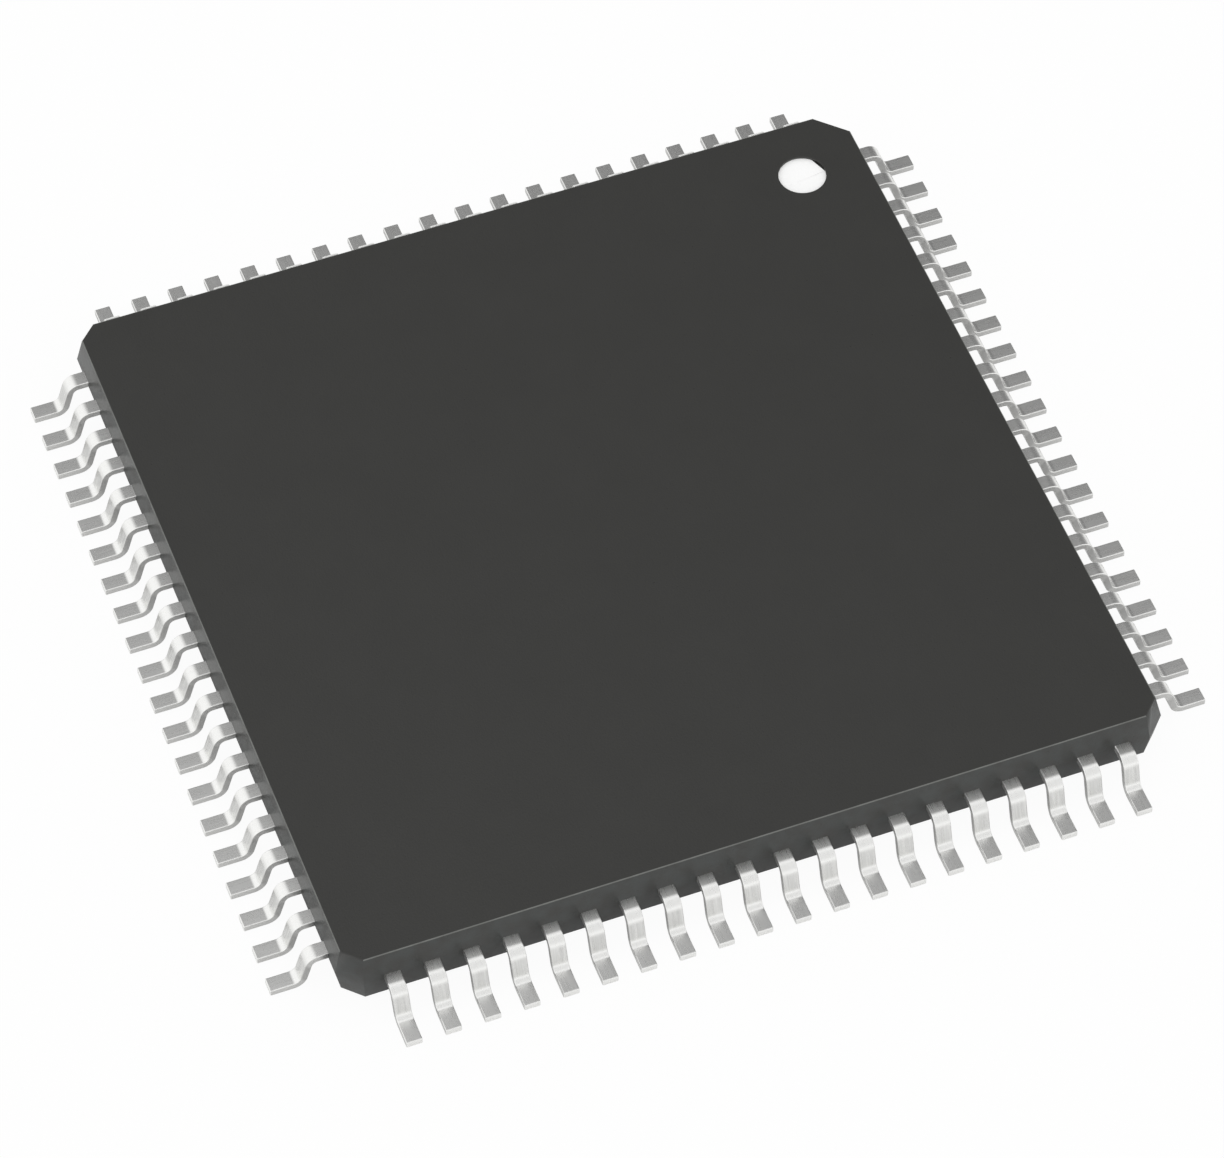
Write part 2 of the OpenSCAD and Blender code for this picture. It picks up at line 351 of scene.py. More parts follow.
shade = add_node(tree, "ShaderNodeMath", {2: 1}, operation="MULTIPLY_ADD")
join(tree, centred, "Value", shade, 0)
join(tree, ends_in, "Contrast", shade, 1)
join(tree, shade, "Value", ends_out, "Shade")
join(tree, lines, "Fac", ends_out, "Height")
print(streak_group.name, "gives", [output.name for output in ends_out.inputs if output.name])

# %% [markdown]
# A thin painted highlight runs along the top's long edges: a lighter colour painted on the
# edge faces, where a line of light falls. The pointiness of the mesh could find the edges,
# but an export can't read it. The modelling knows which faces are edge faces, so it marks
# them in an attribute that the group reads, and a noise breaks the mark up.

# %% Painted highlight along the edges
highlight_group, ends_in, ends_out = new_group(
    "rubbed_edge",
    {"Vector": VECTOR, "Colour": COLOUR, "Edge colour": COLOUR, "Breaks per mm": NUMBER},
    {"Colour": COLOUR},
)
tree = highlight_group
# The marked edge faces get the painted highlight colour, broken up by noise
highlight_faces = add_node(tree, "ShaderNodeAttribute", attribute_name="rubbed")
breaks = add_node(tree, "ShaderNodeTexNoise", {"Detail": 2})
join(tree, ends_in, "Vector", breaks, "Vector")
join(tree, ends_in, "Breaks per mm", breaks, "Scale")
strength = add_node(tree, "ShaderNodeMapRange", {"From Min": 0.2, "From Max": 0.6, "To Min": 0.6})
join(tree, breaks, "Fac", strength, "Value")
mask = add_node(tree, "ShaderNodeMath", operation="MULTIPLY")
join(tree, highlight_faces, "Fac", mask, 0)
join(tree, strength, "Result", mask, 1)
tint = add_node(tree, "ShaderNodeMix", data_type="RGBA")
join(tree, mask, "Value", tint, 0)
join(tree, ends_in, "Colour", tint, 6)
join(tree, ends_in, "Edge colour", tint, 7)
join(tree, tint, 2, ends_out, "Colour")
print(highlight_group.name, "gives", [output.name for output in ends_out.inputs if output.name])


# %% [markdown]
# The helpers below put a group into a material with its own values, turn the piece's
# coordinates into millimetres, shade a colour, and turn a height into bump.

# %% Helpers that place a group in a material
def add_group(tree, group, values):
    node = add_node(tree, "ShaderNodeGroup", node_tree=group)
    for name, value in values.items():
        node.inputs[name].default_value = value
    return node


def in_millimetres(tree, coordinates="Object"):
    """Texture coordinates of the piece in millimetres."""
    source = add_node(tree, "ShaderNodeTexCoord")
    mapping = add_node(tree, "ShaderNodeMapping", {"Scale": (1 / MM, 1 / MM, 1 / MM)})
    join(tree, source, coordinates, mapping, "Vector")
    return mapping


def shaded(tree, colour, factor, factor_socket):
    """A colour made lighter and darker by a shade that swings about one."""
    node = add_node(tree, "ShaderNodeVectorMath", {0: colour[:3]}, operation="SCALE")
    join(tree, factor, factor_socket, node, "Scale")
    return node


def add_relief(tree, shader, source, socket, depth):
    """Bump of the given depth in metres, from a height that runs from 0 to 1."""
    bump = add_node(tree, "ShaderNodeBump", {"Strength": 1, "Distance": depth})
    join(tree, source, socket, bump, "Height")
    join(tree, bump, "Normal", shader, "Normal")


def tell(material):
    print(material.name, "has", len(material.node_tree.nodes), "nodes")


# %% [markdown]
# ## Moulding compound
# The compound is black epoxy filled with ground silica. The mould is spark-eroded, which
# leaves an even, very fine matt grain. A flat black plastic with gloss would look like
# glass, so grain sets the colour, the roughness and the bump together. On the walls faint
# cool clouds stand for the compound's flow past the leads, and their lighter colour is also
# a painted sheen on the walls. Where the top meets the long sides a thin painted highlight
# lightens the edge. Attributes of the mesh say which faces these are.

# %% Colour the compound
COMPOUND = (0.034, 0.034, 0.0316, 1)
# Lighter, cooler compound on the walls: flow clouds, and a painted sheen that lightens the walls
COMPOUND_WALL_SHEEN_AND_FLOW = (0.042, 0.046, 0.0445, 1)
# Lighter compound painted on the top's long edges: a painted highlight
COMPOUND_HIGHLIGHT = (0.15, 0.155, 0.145, 1)

compound, tree, shader = new_material("black_compound", Roughness=0.3)
spot = in_millimetres(tree)
wall = add_node(tree, "ShaderNodeAttribute", attribute_name="wall")
clouds = add_node(tree, "ShaderNodeTexNoise", {"Scale": 4, "Detail": 3})
join(tree, spot, "Vector", clouds, "Vector")
cloudy = add_node(tree, "ShaderNodeMapRange", {"From Min": 0.35, "From Max": 0.65})
join(tree, clouds, "Fac", cloudy, "Value")
wall_sheen_and_flow = add_node(tree, "ShaderNodeMath", operation="MULTIPLY")
join(tree, wall, "Fac", wall_sheen_and_flow, 0)
join(tree, cloudy, "Result", wall_sheen_and_flow, 1)
base = add_node(tree, "ShaderNodeMix", {6: COMPOUND, 7: COMPOUND_WALL_SHEEN_AND_FLOW}, data_type="RGBA")
join(tree, wall_sheen_and_flow, "Value", base, 0)
tell(compound)

# %% Grain and edge of the compound
grain = add_group(tree, grain_group, {"Grains per mm": 28, "Contrast": 0.12})
join(tree, spot, "Vector", grain, "Vector")
colour = add_node(tree, "ShaderNodeVectorMath", operation="SCALE")
join(tree, base, 2, colour, 0)
join(tree, grain, "Shade", colour, "Scale")
edge = add_group(tree, highlight_group, {"Edge colour": COMPOUND_HIGHLIGHT, "Breaks per mm": 4})
join(tree, spot, "Vector", edge, "Vector")
join(tree, colour, "Vector", edge, "Colour")
join(tree, edge, "Colour", shader, "Base Color")
rough = add_node(tree, "ShaderNodeMapRange", {"To Min": 0.24, "To Max": 0.36})
join(tree, grain, "Height", rough, "Value")
join(tree, rough, "Result", shader, "Roughness")
add_relief(tree, shader, grain, "Height", 0.003 * MM)
tell(compound)

# %% [markdown]
# ## White mark
# The mark is a drop of matt white ink on the floor of the recess. Ink could be a clean
# white, but even matt ink shows the pigment in it, so it takes a very fine grain with
# little contrast and a shallow relief.

# %% Make the white ink
INK = (0.985, 0.985, 0.98, 1)

ink, tree, shader = new_material("white_ink", Roughness=0.6)
spot = in_millimetres(tree)
grain = add_group(tree, grain_group, {"Grains per mm": 30, "Contrast": 0.04})
join(tree, spot, "Vector", grain, "Vector")
colour = shaded(tree, INK, grain, "Shade")
join(tree, colour, "Vector", shader, "Base Color")
add_relief(tree, shader, grain, "Height", 0.002 * MM)
tell(ink)

# %% [markdown]
# ## Tin plate
# The leads are stamped from rolled copper alloy and plated with satin tin. The strip's
# rolling marks run along each lead and turn with its bends. Object coordinates would cut
# straight through the bends, so the material reads the lead's own UV map, called strip: U
# runs across the lead and V along it, both in millimetres.

# %% Start the tin plate
TIN = (0.92, 0.92, 0.905, 1)

tin, tree, shader = new_material("tin_plate", Metallic=1.0, Roughness=0.3)
strip = add_node(tree, "ShaderNodeUVMap", uv_map="strip")
streaks = add_group(tree, streak_group, {"Lines per mm": 18, "Stretch": 14, "Contrast": 0.08})
join(tree, strip, "UV", streaks, "Vector")
tell(tin)

# %% [markdown]
# The bending tool drags over the leg between the two bends and leaves it more streaked, and
# the leg's colour is also painted darker, a painted shade for the darker surroundings that it
# mirrors. The material has to know where the leg is on every lead, whichever way the lead
# points, so each lead carries an attribute called along. It grows from the root to the toe,
# and a mask rises over one bend and falls over the other.

# %% Mask the leg
LEG_FROM = 6.86
LEG_TO = 7.26
LEG_BLEND = 0.06

along = add_node(tree, "ShaderNodeAttribute", attribute_name="along")
rise = add_node(
    tree, "ShaderNodeMapRange",
    {"From Min": LEG_FROM - LEG_BLEND, "From Max": LEG_FROM + LEG_BLEND},
    interpolation_type="SMOOTHSTEP",
)
fall = add_node(
    tree, "ShaderNodeMapRange",
    {"From Min": LEG_TO + LEG_BLEND, "From Max": LEG_TO - LEG_BLEND},
    interpolation_type="SMOOTHSTEP",
)
join(tree, along, "Fac", rise, "Value")
join(tree, along, "Fac", fall, "Value")
leg = add_node(tree, "ShaderNodeMath", operation="MULTIPLY")
join(tree, rise, "Result", leg, 0)
join(tree, fall, "Result", leg, 1)
print("leg from", LEG_FROM, "to", LEG_TO)

# %% Drag marks and painted shade on the leg
# Painted shade: the leg's colour is darkened by this share, for the darker surroundings that it
# mirrors
LEG_PAINTED_SHADE = 0.83

drag = add_group(tree, streak_group, {"Lines per mm": 16, "Stretch": 30, "Contrast": 0.7})
join(tree, strip, "UV", drag, "Vector")
leg_darkened = add_node(tree, "ShaderNodeMath", {1: LEG_PAINTED_SHADE}, operation="MULTIPLY")
join(tree, drag, "Shade", leg_darkened, 0)
leg_shade = add_node(tree, "ShaderNodeMix", {2: 1.0}, data_type="FLOAT")
join(tree, leg, "Value", leg_shade, 0)
join(tree, leg_darkened, "Value", leg_shade, 3)
tell(tin)

# %% [markdown]
# The sides of a lead are sheared, which leaves them rougher than the rolled faces, while its
# rounded edges stay bright. The sides are also painted darker, a painted shade for the shaded
# floor that they mirror. The distance from the lead's middle line, which is U, tells the
# sides from the rest. At the root, next to the body, the tin is painted darker, a painted
# shade of the body's wall.

# %% Mask the sheared sides and the root
LEAD_WIDTH = 0.27 * MM
LEAD_ROUND = 0.018 * MM
# Where the sheared face fades in, in shares of the edge's rounding
SHEAR_FROM = 0.3
SHEAR_FULL = 0.05
# Painted shade: the colour of the sheared sides is darkened, for the shaded floor that they
# mirror
SIDE_SHADE = 0.74
# The tin is painted darker at the root, next to the body: a painted shade of the body's wall
ROOT_FROM = 6.34
ROOT_TO = 6.56
ROOT_SHADE = 0.92

split = add_node(tree, "ShaderNodeSeparateXYZ")
join(tree, strip, "UV", split, "Vector")
side = add_node(tree, "ShaderNodeMath", operation="ABSOLUTE")
join(tree, split, "X", side, 0)
sheared = add_node(tree, "ShaderNodeMapRange", {
    "From Min": (LEAD_WIDTH / 2 - SHEAR_FROM * LEAD_ROUND) / MM,
    "From Max": (LEAD_WIDTH / 2 - SHEAR_FULL * LEAD_ROUND) / MM,
})
join(tree, side, "Value", sheared, "Value")
side_shade = add_node(tree, "ShaderNodeMix", {2: 1.0, 3: SIDE_SHADE}, data_type="FLOAT")
join(tree, sheared, "Result", side_shade, 0)
root = add_node(
    tree, "ShaderNodeMapRange",
    {"From Min": ROOT_FROM, "From Max": ROOT_TO, "To Min": ROOT_SHADE, "To Max": 1.0},
    interpolation_type="SMOOTHSTEP",
)
join(tree, along, "Fac", root, "Value")
tell(tin)

# %% Join the shades of the tin
root_shaded = add_node(tree, "ShaderNodeMath", operation="MULTIPLY")
join(tree, root, "Result", root_shaded, 0)
join(tree, side_shade, 0, root_shaded, 1)
shade = add_node(tree, "ShaderNodeMath", operation="MULTIPLY")
join(tree, leg_shade, 0, shade, 0)
join(tree, streaks, "Shade", shade, 1)
all_shade = add_node(tree, "ShaderNodeMath", operation="MULTIPLY")
join(tree, shade, "Value", all_shade, 0)
join(tree, root_shaded, "Value", all_shade, 1)
colour = shaded(tree, TIN, all_shade, "Value")
join(tree, colour, "Vector", shader, "Base Color")

rough = add_node(tree, "ShaderNodeMapRange", {"To Min": 0.22, "To Max": 0.34})
join(tree, streaks, "Height", rough, "Value")
rougher = add_node(tree, "ShaderNodeMix", {3: 0.45}, data_type="FLOAT")
join(tree, sheared, "Result", rougher, 0)
join(tree, rough, "Result", rougher, 2)
join(tree, rougher, 0, shader, "Roughness")
add_relief(tree, shader, streaks, "Height", 0.0004 * MM)
tell(tin)

# %% [markdown]
# ## Copper of the pad
# Nothing shows through the compound, but whoever opens the part finds real materials. The
# pad under the die is the same rolled strip as the leads, left bare. It could share the
# tin's material with another colour. But it has no bends, so plain object coordinates
# carry its rolling streaks, and they are broader, as on bare copper.

# %% Make the copper of the pad
COPPER = (0.72, 0.42, 0.29, 1)

copper, tree, shader = new_material("pad_copper", Metallic=1.0, Roughness=0.35)
spot = in_millimetres(tree)
streaks = add_group(tree, streak_group, {"Lines per mm": 12, "Stretch": 20, "Contrast": 0.3})
join(tree, spot, "Vector", streaks, "Vector")
colour = shaded(tree, COPPER, streaks, "Shade")
join(tree, colour, "Vector", shader, "Base Color")
rough = add_node(tree, "ShaderNodeMapRange", {"To Min": 0.25, "To Max": 0.5})
join(tree, streaks, "Height", rough, "Value")
join(tree, rough, "Result", shader, "Roughness")
add_relief(tree, shader, streaks, "Height", 0.002 * MM)
tell(copper)

# %% [markdown]
# ## Bond layer
# The glue under the die is epoxy full of silver flakes. Single flakes could be modelled,
# but each is only a few thousandths of a millimetre wide. So the fine grain stands for
# them, with a strong contrast, on a base that is half way between paste and metal.

# %% Make the bond layer
SILVER_GLUE = (0.55, 0.55, 0.53, 1)

glue, tree, shader = new_material("bond_layer", Metallic=0.6, Roughness=0.5)
spot = in_millimetres(tree)
grain = add_group(tree, grain_group, {"Grains per mm": 60, "Contrast": 0.8})
join(tree, spot, "Vector", grain, "Vector")
colour = shaded(tree, SILVER_GLUE, grain, "Shade")
join(tree, colour, "Vector", shader, "Base Color")
add_relief(tree, shader, grain, "Height", 0.004 * MM)
tell(glue)

# %% [markdown]
# ## Silicon
# A die is polished dark silicon under clear glass, with blocks of wiring that shine in
# pink and grey. Real wiring is far too fine to draw. A brick pattern gives the rows of
# cells, and square Voronoi cells give the blocks of memory and logic that they fill.

# %% Make the silicon
SILICON = (0.16, 0.17, 0.21, 1)
WIRING = (0.34, 0.27, 0.36, 1)
CELL_GAP = (0.05, 0.05, 0.06, 1)

silicon, tree, shader = new_material("silicon", Roughness=0.15, Coat_Weight=0.5)
spot = in_millimetres(tree)
blocks = add_node(tree, "ShaderNodeTexVoronoi", {"Scale": 1.6}, distance="CHEBYCHEV")
join(tree, spot, "Vector", blocks, "Vector")
cells = add_node(tree, "ShaderNodeTexBrick", {
    "Color1": SILICON, "Color2": WIRING, "Mortar": CELL_GAP, "Scale": 14, "Mortar Size": 0.03,
})
join(tree, spot, "Vector", cells, "Vector")
tint = add_node(tree, "ShaderNodeMix", {0: 0.5}, data_type="RGBA", blend_type="MULTIPLY")
join(tree, cells, "Color", tint, 6)
join(tree, blocks, "Color", tint, 7)
join(tree, tint, 2, shader, "Base Color")
rough = add_node(tree, "ShaderNodeMapRange", {"To Min": 0.12, "To Max": 0.3})
join(tree, blocks, "Distance", rough, "Value")
join(tree, rough, "Result", shader, "Roughness")
tell(silicon)

# %% [markdown]
# ## Lock tape
# The ring that keeps the fingers in line is amber polyimide film. Clear film could be a
# glass shader, but here it lies between compound and metal, so a smooth amber plastic
# with slow changes of depth looks the same and renders faster.

# %% Make the lock tape
AMBER = (0.62, 0.33, 0.07, 1)

amber, tree, shader = new_material("tape_film", Roughness=0.25)
spot = in_millimetres(tree)
grain = add_group(tree, grain_group, {"Grains per mm": 6, "Contrast": 0.3})
join(tree, spot, "Vector", grain, "Vector")
colour = shaded(tree, AMBER, grain, "Shade")
join(tree, colour, "Vector", shader, "Base Color")
add_relief(tree, shader, grain, "Height", 0.002 * MM)
tell(amber)

# %% [markdown]
# ## Gold wire
# The bond wires are drawn gold, thinner than a hair. Drawing leaves lines along a wire,
# but each wire here points its own way and none has a UV map. A very fine grain breaks up
# the shine instead, and suits every direction.

# %% Make the gold of the wires
GOLD = (0.95, 0.72, 0.30, 1)

gold, tree, shader = new_material("gold_wire", Metallic=1.0, Roughness=0.2)
spot = in_millimetres(tree)
grain = add_group(tree, grain_group, {"Grains per mm": 90, "Contrast": 0.15})
join(tree, spot, "Vector", grain, "Vector")
colour = shaded(tree, GOLD, grain, "Shade")
join(tree, colour, "Vector", shader, "Base Color")
rough = add_node(tree, "ShaderNodeMapRange", {"To Min": 0.15, "To Max": 0.3})
join(tree, grain, "Height", rough, "Value")
join(tree, rough, "Result", shader, "Roughness")
tell(gold)

# %% [markdown]
# ## Finishing the sealed pieces
# The shapes of the sealed pieces are right as they come from the CAD part. Only their
# material slots change: each one's plain colour makes way for its finish.

# %% Give the sealed pieces their finishes
SEALED = {"die_pad": copper, "die_attach": glue, "die": silicon, "lead_lock_tape": amber}
finished = 0
for name, piece in frame["nodes"].items():
    finish = gold if name.startswith("wires_") else SEALED.get(name)
    if finish:
        piece.data.materials.clear()
        piece.data.materials.append(finish)
        finished += 1
print("sealed pieces:", finished)


# %% [markdown]
# ## Working by hand, in code
# Each new piece starts as a primitive and is shaped in edit mode. A list of points would
# give the same mesh, but it wouldn't show how the form comes about. Two helpers stand in for
# the mouse: one adds a primitive and names it, and one selects what passes a test. Two more
# apply a modifier, and shade the rounded parts smooth.

# %% Helpers for modelling
def start_piece(add_primitive, name, **settings):
    """Adds a primitive with nothing else selected, and opens it in edit mode."""
    bpy.ops.object.select_all(action="DESELECT")
    add_primitive(**settings)
    piece = bpy.context.object
    piece.name = name
    bpy.ops.object.transform_apply(location=True, rotation=True, scale=True)
    bpy.ops.object.mode_set(mode="EDIT")
    return piece


def select(kind, test):
    """In edit mode, selects the verts, edges or faces that pass a test, and no others."""
    bpy.ops.mesh.select_mode(type={"verts": "VERT", "edges": "EDGE", "faces": "FACE"}[kind])
    bpy.ops.mesh.select_all(action="DESELECT")
    mesh = bpy.context.edit_object.data
    form = bmesh.from_edit_mesh(mesh)
    for element in getattr(form, kind):
        if test(element):
            element.select_set(True)
    bmesh.update_edit_mesh(mesh)


def apply_modifier(piece, kind, **settings):
    """Adds one modifier to a piece and applies it."""
    bpy.context.view_layer.objects.active = piece
    modifier = piece.modifiers.new(kind.lower(), kind)
    for name, value in settings.items():
        setattr(modifier, name, value)
    bpy.ops.object.modifier_apply(modifier=modifier.name)


def smooth_bends(piece, angle):
    """Smooth shading over the rounded parts, while the flat faces stay flat.

    Weighted normals give up on faces of less than a square millimetre or so. The piece is
    therefore shaded a thousand times larger, and brought back to its size."""
    bpy.ops.object.select_all(action="DESELECT")
    piece.select_set(True)
    bpy.context.view_layer.objects.active = piece
    bpy.ops.object.shade_smooth_by_angle(angle=math.radians(angle))
    piece.data.transform(Matrix.Scale(1 / MM, 4))
    apply_modifier(piece, "WEIGHTED_NORMAL", keep_sharp=True)
    piece.data.transform(Matrix.Scale(MM, 4))


print("tools:", start_piece.__name__, select.__name__, apply_modifier.__name__)

# %% [markdown]
# ## Body
# The body is moulded in two halves that meet at the level of the leads. Its outline there
# is a square with cut corners, the cut at pin 1 being larger, and the walls lean in from it
# to the top and to the underside. So the modelling starts from that outline: a plane with
# bevelled corners. Insetting its face and lifting the inner copy makes the upper walls, and
# the same move downwards makes the lower ones.

# %% Read the body's places from the frame
LEAD_THICKNESS = 0.12 * MM
body_low, body_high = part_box("mould_body")
finger_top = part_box("lead_lock_tape")[0].z
parting = finger_top - LEAD_THICKNESS / 2
half_body = body_high.x
print("body", round(2 * half_body / MM, 3), "mm square, parting line at", round(parting / MM, 3))

# %% Shape the two halves
CORNER_CUT = 0.35 * MM
PIN_ONE_CUT = 0.56 * MM
UPPER_DRAFT = math.radians(13)
LOWER_DRAFT = math.radians(10)
# Points closer to a plane than this lie in it
FLUSH = 1e-7

upper_height = body_high.z - parting
lower_height = parting - body_low.z
body = start_piece(
    bpy.ops.mesh.primitive_plane_add, "moulded_body", size=2 * half_body, location=(0, 0, parting)
)
select("verts", lambda v: v.co.x > 0 or v.co.y < 0)
bpy.ops.mesh.bevel(affect="VERTICES", offset=CORNER_CUT)
select("verts", lambda v: v.co.x < -half_body + FLUSH and v.co.y > half_body - FLUSH)
bpy.ops.mesh.bevel(affect="VERTICES", offset=PIN_ONE_CUT)
bpy.ops.mesh.select_all(action="SELECT")
bpy.ops.mesh.inset(thickness=upper_height * math.tan(UPPER_DRAFT), depth=0)
bpy.ops.transform.translate(value=(0, 0, upper_height))
select("edges", lambda e: e.is_boundary)
bpy.ops.mesh.edge_face_add()
bpy.ops.mesh.select_mode(type="FACE")
bpy.ops.mesh.inset(thickness=lower_height * math.tan(LOWER_DRAFT), depth=0)
bpy.ops.transform.translate(value=(0, 0, -lower_height))
bpy.ops.object.mode_set(mode="OBJECT")
print("body:", len(body.data.polygons), "faces")

# %% [markdown]
# The recess at pin 1 and the four ejector marks underneath are flat-bottomed and round.
# They could be inset from the faces, but a square face has no round edge to inset. A thin
# cylinder that is taken away with a boolean gives a true circle at any place.

# %% Sink the recess and the ejector marks
EJECTOR_DIAMETER = 1.6 * MM
EJECTOR_DEPTH = 0.03 * MM
EJECTOR_INSET = 2.4 * MM
ROUND_STEPS = 96

dot_low, dot_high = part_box("pin_one_dot")
dot_radius = (dot_high.x - dot_low.x) / 2
recess_depth = body_high.z - dot_low.z


def cut_round(piece, middle, radius, floor_z, rim_z):
    """Cuts a round recess between its floor and a rim beyond the face."""
    cutter = start_piece(
        bpy.ops.mesh.primitive_cylinder_add, "cutter", vertices=ROUND_STEPS, radius=radius,
        depth=abs(rim_z - floor_z), location=(middle[0], middle[1], (rim_z + floor_z) / 2),
    )
    bpy.ops.object.mode_set(mode="OBJECT")
    apply_modifier(piece, "BOOLEAN", operation="DIFFERENCE", object=cutter, solver="EXACT")
    bpy.data.objects.remove(cutter)


recess_middle = ((dot_low.x + dot_high.x) / 2, (dot_low.y + dot_high.y) / 2)
cut_round(body, recess_middle, dot_radius, dot_low.z, body_high.z + recess_depth)
reach = half_body - EJECTOR_INSET
for x in (-reach, reach):
    for y in (-reach, reach):
        top = body_low.z + EJECTOR_DEPTH
        cut_round(body, (x, y), EJECTOR_DIAMETER / 2, top, body_low.z - EJECTOR_DEPTH)
print("body with recesses:", len(body.data.polygons), "faces")

# %% [markdown]
# No moulded edge is sharp. The rim of the top and the rim of the recess are bevelled by
# about a hundredth of a millimetre, enough to catch a thin line of light. They are picked by
# height, and told apart by length, because the steps of a circle are short.

# %% Round the edges of the body
TOP_ROUND = 0.014 * MM
RIM_ROUND = 0.006 * MM

rim_step = 2 * math.pi * dot_radius / ROUND_STEPS


def lies_on_top(edge):
    return all(vertex.co.z > body_high.z - FLUSH for vertex in edge.verts)


bpy.context.view_layer.objects.active = body
bpy.ops.object.mode_set(mode="EDIT")
select("edges", lambda e: lies_on_top(e) and e.calc_length() > 2 * rim_step)
bpy.ops.mesh.bevel(offset=TOP_ROUND, segments=3)
select("edges", lambda e: lies_on_top(e) and e.calc_length() < 2 * rim_step)
bpy.ops.mesh.bevel(offset=RIM_ROUND, segments=2)
bpy.ops.object.mode_set(mode="OBJECT")
smooth_bends(body, 40)
print("rounded body:", len(body.data.polygons), "faces")

# %% [markdown]
# The compound's material asks which faces are walls, with their painted sheen, and which
# are edge faces with a painted highlight. The faces are told by how they lean and where
# they lie, and the answers are kept in two attributes.

# %% Mark the walls and the edges with a painted highlight
# A face belongs to a side when it lies this far out, as a share of half the width
SIDE_SHARE = 0.94
# How far a face looks up: a wall looks up less than the first, a level face more than the second
WALL_TILT = 0.3
LEVEL_TILT = 0.995
# The edges along the four sides turn to the next side by less than this
CORNER_TURN = 0.01


def mark_faces(piece, name, test):
    """Writes 1 on the faces that pass a test and 0 on the others."""
    marks = piece.data.attributes.new(name, "FLOAT", "FACE")
    for polygon, mark in zip(piece.data.polygons, marks.data):
        mark.value = 1.0 if test(polygon) else 0.0
    print(name, "faces:", sum(mark.value > 0 for mark in marks.data))


def at_side(polygon):
    return max(abs(polygon.center.x), abs(polygon.center.y)) > half_body * SIDE_SHARE


def is_highlight_edge(polygon):
    straight = min(abs(polygon.normal.x), abs(polygon.normal.y)) < CORNER_TURN
    return WALL_TILT < polygon.normal.z < LEVEL_TILT and straight and at_side(polygon)


def is_wall(polygon):
    return abs(polygon.normal.z) < WALL_TILT and at_side(polygon)


mark_faces(body, "rubbed", is_highlight_edge)
mark_faces(body, "wall", is_wall)
body.data.materials.clear()
body.data.materials.append(compound)
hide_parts("mould_body")
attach(body, "root")

# %% [markdown]
# ## Pin 1 mark
# The ink is a drop laid on the floor of the recess. A disc with a flat top would look like
# a sticker, so its top is inset and let down a little, as ink that is pulled up at its rim.
# The drop doesn't quite reach the wall at one side, where a cut leaves a narrow gap.

# %% Lay the ink
INK_GAP = 0.036 * MM
GAP_WAY = Vector((-0.36, 0.933, 0))
# The dished top: its rim as a share of the radius, and its fall as a share of the height
DISH_RIM = 0.08
DISH_FALL = 0.2

dot = start_piece(
    bpy.ops.mesh.primitive_cylinder_add, "pin_one_mark", vertices=ROUND_STEPS,
    radius=dot_radius, depth=dot_high.z - dot_low.z,
    location=(*recess_middle, (dot_low.z + dot_high.z) / 2),
)
cut_at = Vector((*recess_middle, 0)) + GAP_WAY.normalized() * (dot_radius - INK_GAP)
bpy.ops.mesh.select_all(action="SELECT")
bpy.ops.mesh.bisect(
    plane_co=cut_at, plane_no=GAP_WAY, use_fill=True, clear_outer=True, threshold=FLUSH
)
select("faces", lambda f: f.normal.z > 0.9)
bpy.ops.mesh.inset(thickness=dot_radius * DISH_RIM, depth=0)
bpy.ops.transform.translate(value=(0, 0, -(dot_high.z - dot_low.z) * DISH_FALL))
bpy.ops.object.mode_set(mode="OBJECT")
smooth_bends(dot, 40)
dot.data.materials.append(ink)
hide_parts("pin_one_dot")
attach(dot, "root")
print("mark:", len(dot.data.polygons), "faces")

# %% [markdown]
# ## Leads
# A lead is a strip bent twice like a gull's wing: flat foot, lower bend, steep leg, upper
# bend, shoulder, and the finger that fans in to the die inside the body. It is modelled as
# it is formed. The foot is a flattened cube, its inner end is spun round the lower bend,
# extruded up the leg, spun back round the upper bend, and extruded in to the finger's knee
# and tip. The twenty leads of a side differ only in where their fingers turn, so each place
# in the row is modelled once, and the other three sides get copies turned about the middle.

# %% Measure the gull wing
LEADS_PER_SIDE = 20
UPPER_BEND = 0.11 * MM
LOWER_BEND = 0.13 * MM
LEG_ANGLE = math.radians(73)
FOOT_LENGTH = 0.385 * MM
SHOULDER = 0.16 * MM
CORNER_RUN = 0.2 * MM
MIDDLE_RUN = 1.1 * MM
TIP_WIDTH = 0.15 * MM
TIP_CORNER_GAP = 0.42 * MM
BEND_STEPS = 10

foot = next(m["pos_m"] for m in frame["record"]["mounts"] if m["name"] == "foot_pin_41")
half_row = -foot[1]
toe = cad_high.x
heel = toe - FOOT_LENGTH
shoulder_end = half_body + SHOULDER
middle_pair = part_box("leads_49_50")
tip = middle_pair[0].x
half_tip_row = tip - TIP_CORNER_GAP
fingers = finger_top - LEAD_THICKNESS
print("leads reach from", round(tip / MM, 3), "to", round(toe / MM, 3))


# %% [markdown]
# A curve with a flat profile could be bent along the same path, but its ends and edges
# would need mending. Spinning and extruding one end face keeps the strip a single closed
# form with even thickness, and each step is one that a press makes.

